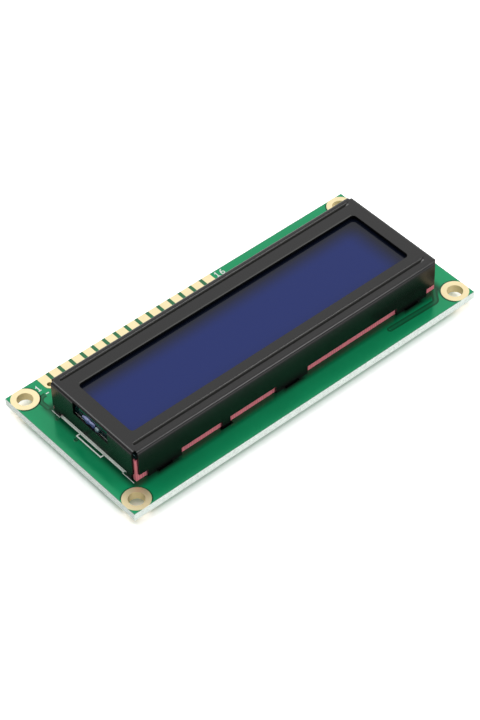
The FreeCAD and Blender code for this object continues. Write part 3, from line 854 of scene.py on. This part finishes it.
@dataclass
class Bezel(Assembly):
    """The stamped steel bezel, as a copy of its CAD solid whose pressed grooves get rounded shoulders.

    Attributes:
        upright: a face counts as a wall if its normal's upward part is smaller than this.
        groove_y: y of the middle of each groove.
        floor_half: half the width of a groove's floor.
        mouth_half: half its width at the top, with sharp shoulders.
        depth: depth of a groove.
        core: half the length of the middle line that a groove follows.
        shoulders: radius of a groove's front and back shoulder.
        run_outs: degrees at which a groove's floor rises to the surface at its left and right end.
        patch: how far the new surface reaches from that middle line.
        rim: width of the part of it that stays flat at a groove's end.
        step: distance between the rows of the new surface.
    """

    upright: float = 0.25
    groove_y: tuple[float, float] = (-10.85, 9.25)
    floor_half: float = 0.1
    mouth_half: float = 0.325
    depth: float = 0.6
    core: float = 33.575
    shoulders: tuple[float, float] = (0.12, 0.4)
    run_outs: tuple[float, float] = (60.0, 25.0)
    patch: float = 0.7
    rim: float = 0.05
    step: float = 0.025

    def extend(self) -> None:
        """Merges a copy of the node's mesh, joins its flat faces and puts the two grooves in anew."""
        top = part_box("bezel")[1].z / MM
        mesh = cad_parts["bezel"].data.copy()
        mesh.name = "bezel_sheet"
        work = bmesh.new()
        work.from_mesh(mesh)
        one_corner, one_plane = 0.0005 * MM, math.radians(0.5)
        bmesh.ops.remove_doubles(work, verts=work.verts, dist=one_corner)
        bmesh.ops.dissolve_limit(work, angle_limit=one_plane, verts=work.verts, edges=work.edges)
        for middle in self.groove_y:
            self.open_top(work, middle, top)
        for middle in self.groove_y:
            pressed = self.groove(middle, top).mesh("pressed_groove")
            work.from_mesh(pressed)
            bpy.data.meshes.remove(pressed)
        work.to_mesh(mesh)
        work.free()
        self.coat(mesh)
        piece = linked("bezel_sheet", mesh)
        level = piece.modifiers.new("flat faces stay flat", "WEIGHTED_NORMAL")
        level.mode = "FACE_AREA"
        level.weight = 100
        level.keep_sharp = True
        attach(piece, "root")
        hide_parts("bezel")
        log.info("made %s in %s", piece.name, LACQUER.name)

    def coat(self, mesh: bpy.types.Mesh) -> None:
        """Lacquers the sheet: one finish for its flat parts and bends, a darker copy for its upright walls as
        painted shade.
        """
        mesh.materials.clear()
        mesh.materials.append(LACQUER.material())
        mesh.materials.append(SHADED_WALL_LACQUER.material())
        normals = np.zeros(3 * len(mesh.polygons))
        mesh.polygons.foreach_get("normal", normals)
        # Upright faces take the darker lacquer: painted shade.
        walls = np.abs(normals[2::3]) < self.upright
        mesh.polygons.foreach_set("material_index", walls.astype(int))
        mesh.polygons.foreach_set("use_smooth", np.full(len(mesh.polygons), True))
        crease = math.radians(28.0)
        mesh.set_sharp_from_angle(angle=crease)

    def open_top(self, work: bmesh.types.BMesh, middle: float, top: float) -> None:
        """Cuts the top face along a rectangle round one groove and takes out what lies inside.

        Args:
            work: the bezel's mesh.
            middle: y of the groove's middle line.
            top: height of the top face.
        """
        reach = self.core + self.patch
        cuts = [((0.0, middle + side * self.patch), (0, 1, 0)) for side in (-1, 1)]
        cuts += [((side * reach, middle), (1, 0, 0)) for side in (-1, 1)]
        flat, upper, high = 0.999, 0.1, (top - 0.01) * MM
        for (x, y), normal in cuts:
            faces = [face for face in work.faces if face.normal.z > flat and face.verts[0].co.z > high]
            edges = {edge for face in faces for edge in face.edges}
            corners = {corner for face in faces for corner in face.verts}
            bmesh.ops.bisect_plane(
                work, geom=[*faces, *edges, *corners], dist=1e-7,
                plane_co=(x * MM, y * MM, 0), plane_no=normal,
            )
        inside = []
        for face in work.faces:
            centre = face.calc_center_median() / MM
            across = abs(centre.y - middle) < self.patch and abs(centre.x) < reach
            if across and face.normal.z > upper and centre.z > top - self.depth - self.rim:
                inside.append(face)
        bmesh.ops.delete(work, geom=inside, context="FACES")

    def groove(self, middle: float, top: float) -> Shape:
        """One pressed groove with the flat strip round it, as a grid of heights.

        At distance d from the middle line the top face dips by R - sqrt(R^2 - (d0 - d)^2) once d is less
        than d0, the start of a shoulder of radius R, then along the straight wall of slope depth / (mouth -
        floor), down to the floor. R goes from the front shoulder's radius to the back one's with the
        direction from the line. At the ends the depth is no more than the distance left along x times the
        tangent of the run-out. The columns lie as close as the rows only near the ends, since nothing
        changes between them.

        Args:
            middle: y of the middle line.
            top: height of the top face.

        Returns:
            The surface, facing up.
        """
        dense, columns, turn_in, tiny = 0.8, 12, 1.4, 1e-6
        slope = self.depth / (self.mouth_half - self.floor_half)
        angle = math.atan(slope)
        across = np.arange(-self.patch, self.patch + self.step / 2, self.step)
        end = self.core + np.arange(-dense, self.patch + self.step / 2, self.step)
        end[-1] = self.core + self.patch
        between = np.linspace(-self.core + 1, self.core - 1, columns)
        x, y = np.meshgrid(np.concatenate([-end[::-1], between, end]), across, indexing="ij")
        beyond = np.maximum(np.abs(x) - self.core, 0.0)
        d = np.maximum(np.hypot(beyond, y), tiny)
        front, back = self.shoulders
        backward = 0.5 + 0.5 * (y + turn_in * beyond) / (np.abs(y) + beyond + tiny)
        radius = front + (back - front) * backward
        start = self.mouth_half + radius * math.tan(angle / 2)
        ahead = np.clip(start - d, 0.0, radius * math.sin(angle))
        dip = radius - np.sqrt(radius ** 2 - ahead ** 2)
        wall = np.maximum(start - radius * math.sin(angle) - d, 0.0) * slope
        left = np.maximum(self.patch - self.rim - (np.abs(x) - self.core), 0.0)
        rise = np.tan(np.radians(np.where(x < 0, *self.run_outs)))
        z = top - np.minimum(np.minimum(dip + wall, self.depth), left * rise)
        rows = len(across)
        column, row = np.meshgrid(np.arange(len(x) - 1), np.arange(rows - 1), indexing="ij")
        first = (column * rows + row).reshape(-1)
        quads = np.stack([first, first + rows, first + rows + 1, first + 1], 1)
        return Shape(np.stack([x, middle + y, z], 2).reshape(-1, 3), quads)


@dataclass(frozen=True)
class Drop:
    """A lumpy drop of glue along Y, stuck to an upright face behind it.

    Attributes:
        centre: x, y and z of its middle.
        reach: half its size along x, y and z.
    """

    centre: tuple[float, float, float]
    reach: tuple[float, float, float]

    def shape(self, back: float) -> Shape:
        """The drop's surface.

        At angle u from end to end and angle v round the middle line, the point is the centre plus the reach
        along Y times cos u, and plus the other two reaches times sin u to the power 0.6 times cos v and sin
        v. The latter also swell by a slow wave of u. What would lie behind the face is set on it.

        Args:
            back: x of the face that it sticks to.

        Returns:
            The closed surface.
        """
        centre, reach = self.centre, self.reach
        rings, sides, tip, waver = 28, 24, 0.002, 0.12
        u = np.linspace(tip, np.pi - tip, rings)[:, None]
        v = np.linspace(0, 2 * np.pi, sides, endpoint=False)
        wave = 1 + waver * np.sin(5.3 * u + 0.9) + 0.5 * waver * np.sin(9.1 * u)
        swell = np.sin(u) ** 0.6 * wave
        return Shape.wrapped(np.stack([
            np.minimum(centre[0] + reach[0] * swell * np.cos(v), back),
            centre[1] + reach[1] * np.cos(u) + 0 * v,
            centre[2] + reach[2] * swell * np.sin(v),
        ], 2))


@dataclass
class DisplayCell(Assembly):
    """The glasses, polarisers, seals and elastomer strips between the board and the bezel.

    Attributes:
        drop: the glue drop on the cell's left end.
        bead: the smaller one beside it.
        bevel: width of the glass's ground edge.
        inset: how far the ground edge stops short of the glass's corners.
    """

    drop: Drop = Drop((-34.95, 0.15, 7.75), (0.34, 1.75, 0.66))
    bead: Drop = Drop((-35.0, -2.15, 7.62), (0.3, 0.5, 0.46))
    bevel: float = 0.1
    inset: float = 0.2
    finishes: ClassVar[dict[str, Finish]] = {
        "front_elastomer_strip": ELASTOMER, "rear_elastomer_strip": ELASTOMER,
        "front_glass": SHADED_GLASS, "rear_glass": SHADED_GLASS, "front_polariser": POLARISER, "rear_polariser": POLARISER,
        "cell_edge_seal": SEAL, "cell_end_seal": SEAL,
    }

    def extend(self) -> None:
        """Pours the cell's end seal and grinds the front glass's edge."""
        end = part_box("front_glass")[0].x / MM
        drop = placed("end_seal_drop", self.drop.shape(end), SEAL_DROP, smooth=True)
        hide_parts("cell_end_seal")
        bead = placed("end_seal_bead", self.bead.shape(end), SEAL_BEAD, smooth=True)
        edge = placed("ground_glass_edge", self.ground_edge(), GROUND_EDGE)

    def ground_edge(self) -> Shape:
        """Narrow frosted strip along the top of the front glass's left end, a bevel's width high."""
        low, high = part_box("front_glass")
        x, z = low.x / MM, high.z / MM
        face, foot = x - self.bevel * 0.5, z - self.bevel
        corners = np.array([(x, foot), (x, z), (face, z - self.bevel * 0.3), (face, foot)])
        ends = (low.y / MM + self.inset, high.y / MM - self.inset)
        return Shape.wrapped(np.stack([np.insert(corners, 1, y, axis=1) for y in ends]), capped=True)


@dataclass
class Backlight(Assembly):
    """The tray and what lies in it."""

    finishes: ClassVar[dict[str, Finish]] = {
        "backlight_tray": TRAY, "reflector_sheet": FILM, "light_guide": ACRYLIC, "diffuser_sheet": FILM,
        "backlight_lamp": LAMP, "lamp_legs": TIN, "lamp_hole_plating": GOLD, "lamp_solder": SOLDER,
    }


@dataclass
class Underside(Assembly):
    """The lower face: epoxy caps over the dies, the chips, the tracks and the print.

    Attributes:
        board_bottom: height of the board's lower face.
        steps: rings of a cap from its rim to its crown.
        track: width of a track.
        track_top: y where the tracks leave the header pads.
        level: y of the lowest run of the tracks, and the step from one run to the next.
        lap: how far a track reaches under a cap's rim.
        bare_pins: pins whose tracks would cross a slot, and which run on the upper face.
        bus_rises: y of each track between the caps, from their middle line.
    """

    board_bottom: float
    steps: int = 14
    track: float = 0.3
    track_top: float = 14.6
    level: tuple[float, float] = (7.4, 0.6)
    lap: float = 0.1
    bare_pins: tuple[int, ...] = (1, 12, 13)
    bus_rises: tuple[float, ...] = (5.35, 5.85, 6.25, -5.45, -5.95)
    finishes: ClassVar[dict[str, Finish]] = {
        "controller_die": SILICON, "driver_die": SILICON, "chip_resistors": GLAZE,
        "chip_capacitors": CERAMIC, "chip_end_caps": TIN, "chip_lands": GOLD, "chip_solder": SOLDER,
    }

    def extend(self) -> None:
        """Pours the two caps and adds the tracks and the print."""
        for name in ("controller", "driver"):
            self.pour(name)
        placed("lower_tracks", self.header_tracks() + self.bus(), MASK_TRACK)
        placed("lower_print", self.rings(), WHITE_INK)

    @staticmethod
    def cap(name: str) -> tuple[Vector, float, float]:
        """Middle, radius and height of a cap's node, in millimetres."""
        low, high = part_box(name + "_epoxy_cap")
        return (low + high) / 2 / MM, (high.x - low.x) / 2 / MM, (high.z - low.z) / MM

    def below(self, path: np.ndarray, width: float, thickness: float, closed: bool = False) -> Shape:
        """Band on the board's lower face."""
        return band(path, width, self.board_bottom - thickness, self.board_bottom, closed)

    def header_tracks(self) -> Shape:
        """Tracks from the header pads to the controller's cap.

        Each drops from its pad to a level of its own, runs sideways and drops again to the cap's rim. Pins
        left of their end take the levels from the lowest up, and so do those right of it, so that no two
        cross.
        """
        middle, radius, _ = self.cap("controller")
        fan, longest, share = 0.6, 0.8, 0.45
        shape = Shape()
        for pin in (p for p in range(PINS) if p not in self.bare_pins):
            start = FIRST_PIN + pin * PITCH
            end = middle.x + (pin - (PINS - 1) / 2) * fan
            run = self.level[0] + self.level[1] * (pin if start < end else PINS - 1 - pin)
            rim = middle.y + math.sqrt(radius ** 2 - (end - middle.x) ** 2) - self.lap
            cut = math.copysign(min(longest, abs(end - start) * share), end - start)
            path = np.array([
                (start, self.track_top), (start, run + abs(cut)), (start + cut, run), (end - cut, run),
                (end, run - abs(cut)), (end, rim),
            ])
            shape = shape + self.below(path, self.track, RELIEF)
        return shape

    def bus(self) -> Shape:
        """Straight tracks from one cap's rim to the other's, above and below the chips between them."""
        (left, radius, _), (right, _, _) = (self.cap(name) for name in ("controller", "driver"))
        shape = Shape()
        for rise in self.bus_rises:
            inset = math.sqrt(radius ** 2 - rise ** 2) - self.lap
            y = left.y + rise
            path = np.array([(left.x + inset, y), (right.x - inset, y)])
            shape = shape + self.below(path, self.track, RELIEF)
        return shape

    def rings(self) -> Shape:
        """White printed circle round each cap."""
        away, width = 0.5, 0.2
        shape = Shape()
        for name in ("controller", "driver"):
            middle, radius, _ = self.cap(name)
            circle = arc(middle.x, middle.y, radius + away, 0, 352.5, 48)
            shape = shape + self.below(circle, width, INK, closed=True)
        return shape

    def pour(self, name: str) -> None:
        """One cap: its height falls as a quarter ellipse raised to a soft power from crown to rim."""
        middle, radius, depth = self.cap(name)
        angle = np.linspace(0, np.pi / 2, self.steps)
        reach = np.maximum(radius * 0.985 * np.cos(angle) ** 0.85, 0.001)
        height = self.board_bottom - depth * 0.99 * np.sin(angle) ** 0.9
        floor = turned(middle.x, middle.y, np.array([0.001, reach[0]]), np.full(2, self.board_bottom))
        shape = floor + turned(middle.x, middle.y, reach, height, wobble=0.012)
        shape.quads = shape.quads[:, ::-1]
        piece = placed(name + "_epoxy", shape, EPOXY, smooth=True)
        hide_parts(name + "_epoxy_cap")


@dataclass(frozen=True)
class RoomSide:
    """A side of the room that gives less or more light than the rest.

    Attributes:
        direction: unit vector towards the middle of that side.
        start: cosine of the angle from there at which the change starts.
        full: cosine of the angle within which it is complete.
        light: light there, as a share of the room's own.
    """

    direction: tuple[float, float, float]
    start: float
    full: float
    light: float

    def share(self, graph: Graph, towards: Output) -> Output:
        """Share of the room's light that comes from a direction."""
        facing = graph.add("VectorMath", {0: towards, 1: self.direction}, operation="DOT_PRODUCT")
        return graph.ranged(facing.outputs["Value"], 1.0, self.light, self.start, self.full, Curve.SOFT)


@dataclass
class Studio:
    """White table, soft light and a camera that looks down at the module's front left corner.

    Attributes:
        target: point that the camera looks at, in millimetres.
        azimuth: degrees by which the camera's view is turned from +Y.
        elevation: degrees above the table.
        roll: degrees by which the camera is turned about its own axis.
        distance: from the target, in millimetres.
        focal_px: focal length in pixels of the frame.
        frame_height: height of the frame in pixels.
        sides: where the room differs from its plain white.
        table_colour: sRGB colour of the table.
        table_half: half the table's width, in millimetres.
        table_gain: how much brighter the eye sees the table than it is, as an overexposed ground.
    """

    target: tuple[float, float, float] = (-3.10, -2.48, 3.0)
    azimuth: float = -39.67
    elevation: float = 45.83
    roll: float = -1.69
    distance: float = 440.1
    focal_px: float = 2473.5
    frame_height: float = 720.0
    sides: tuple[RoomSide, ...] = (
        RoomSide((-1.0, 0.0, 0.0), 0.1, 0.9, 0.3),
        RoomSide((0.4, -0.5, 0.77), 0.75, 0.95, 0.4),
        RoomSide((0.0, -1.0, 0.1), 0.75, 0.95, 1.7),
    )
    table_colour: str = "#F6F6F6"
    table_half: float = 2500.0
    table_gain: float = 0.7

    def camera(self) -> None:
        """Places the camera: its axes from azimuth and elevation, then turned by the roll."""
        a, e, r = (math.radians(v) for v in (self.azimuth, self.elevation, self.roll))
        back = Vector((math.sin(a) * math.cos(e), -math.cos(a) * math.cos(e), math.sin(e)))
        right = Vector((math.cos(a), math.sin(a), 0.0))
        up = back.cross(right)
        turned_right = math.cos(r) * right + math.sin(r) * up
        turned_up = -math.sin(r) * right + math.cos(r) * up
        data = bpy.data.cameras.new("camera")
        data.sensor_width = 36.0
        data.lens = self.focal_px * data.sensor_width / self.frame_height
        data.clip_start, data.clip_end = 0.02, 20.0
        camera = linked("camera", data)
        axes = Matrix((turned_right, turned_up, back)).transposed()
        place = (Vector(self.target) + back * self.distance) * MM
        camera.matrix_world = Matrix.Translation(place) @ axes.to_4x4()
        bpy.context.scene.camera = camera

    def world(self) -> None:
        """Plain white to the eye; as light, a pale room whose sides are not all alike."""
        world = bpy.data.worlds.new("studio")
        graph = Graph.of(world)
        towards = graph.add("TexCoord").outputs["Generated"]
        room = graph.together("MULTIPLY", [side.share(graph, towards) for side in self.sides])
        light = graph.add("Background", {"Color": (1.0, 1.0, 1.0, 1.0), "Strength": room})
        white = graph.add("Background", {"Color": (1.0, 1.0, 1.0, 1.0), "Strength": 1.0})
        eye = graph.add("LightPath").outputs["Is Camera Ray"]
        shown = graph.add("MixShader", {0: eye, 1: light.outputs[0], 2: white.outputs[0]})
        graph.add("OutputWorld", {"Surface": shown.outputs[0]})
        bpy.context.scene.world = world

    def table(self) -> None:
        """White table under the module, which the eye sees overexposed, with the module's shadow on it."""
        made = bpy.data.materials.new("white table")
        graph = Graph.of(made)
        white = linear(self.table_colour)
        paint = graph.add("BsdfDiffuse", {"Color": white})
        gain = graph.ranged(graph.add("LightPath").outputs["Is Camera Ray"], 0.0, self.table_gain)
        extra = graph.add("BsdfDiffuse", {"Color": graph.scaled(white, gain)})
        total = graph.add("AddShader", {0: paint.outputs[0], 1: extra.outputs[0]})
        graph.add("OutputMaterial", {"Surface": total.outputs[0]})
        corners = self.table_half * np.array([(-1, -1, 0), (1, -1, 0), (1, 1, 0), (-1, 1, 0)])
        mesh = Shape(corners, np.array([(0, 1, 2, 3)])).mesh("table")
        mesh.materials.append(made)
        table = linked("table", mesh)

    def lamp(self, name: str, place: tuple[float, float, float], size: float, power: float) -> None:
        """Square soft light at a place in metres, facing the module."""
        data = bpy.data.lights.new(name, "AREA")
        data.size = size
        data.energy = power
        light = linked(name, data)
        light.location = place
        light.rotation_mode = "QUATERNION"
        light.rotation_quaternion = Vector(place).to_track_quat("Z", "Y")

    def build(self) -> None:
        """Sets up the camera, the light and the table."""
        bpy.context.scene.view_settings.view_transform = "Standard"
        self.camera()
        self.world()
        self.table()
        self.lamp("front_softbox", (0.40, -0.32, 0.74), 0.24, 1.25)
        self.lamp("back_softbox", (-0.16, 0.48, 0.75), 0.34, 1.1)


def main() -> None:
    """Builds the module's pieces and the studio, in order."""
    logging.basicConfig(level=logging.INFO, format="%(name)s: %(message)s")
    board = CircuitBoard.from_frame()
    for part in (board, Bezel(), DisplayCell(), Backlight(), Underside(board.bottom), Studio()):
        part.build()
        log.info("built %s", type(part).__name__)


if __name__ == "__main__":
    main()
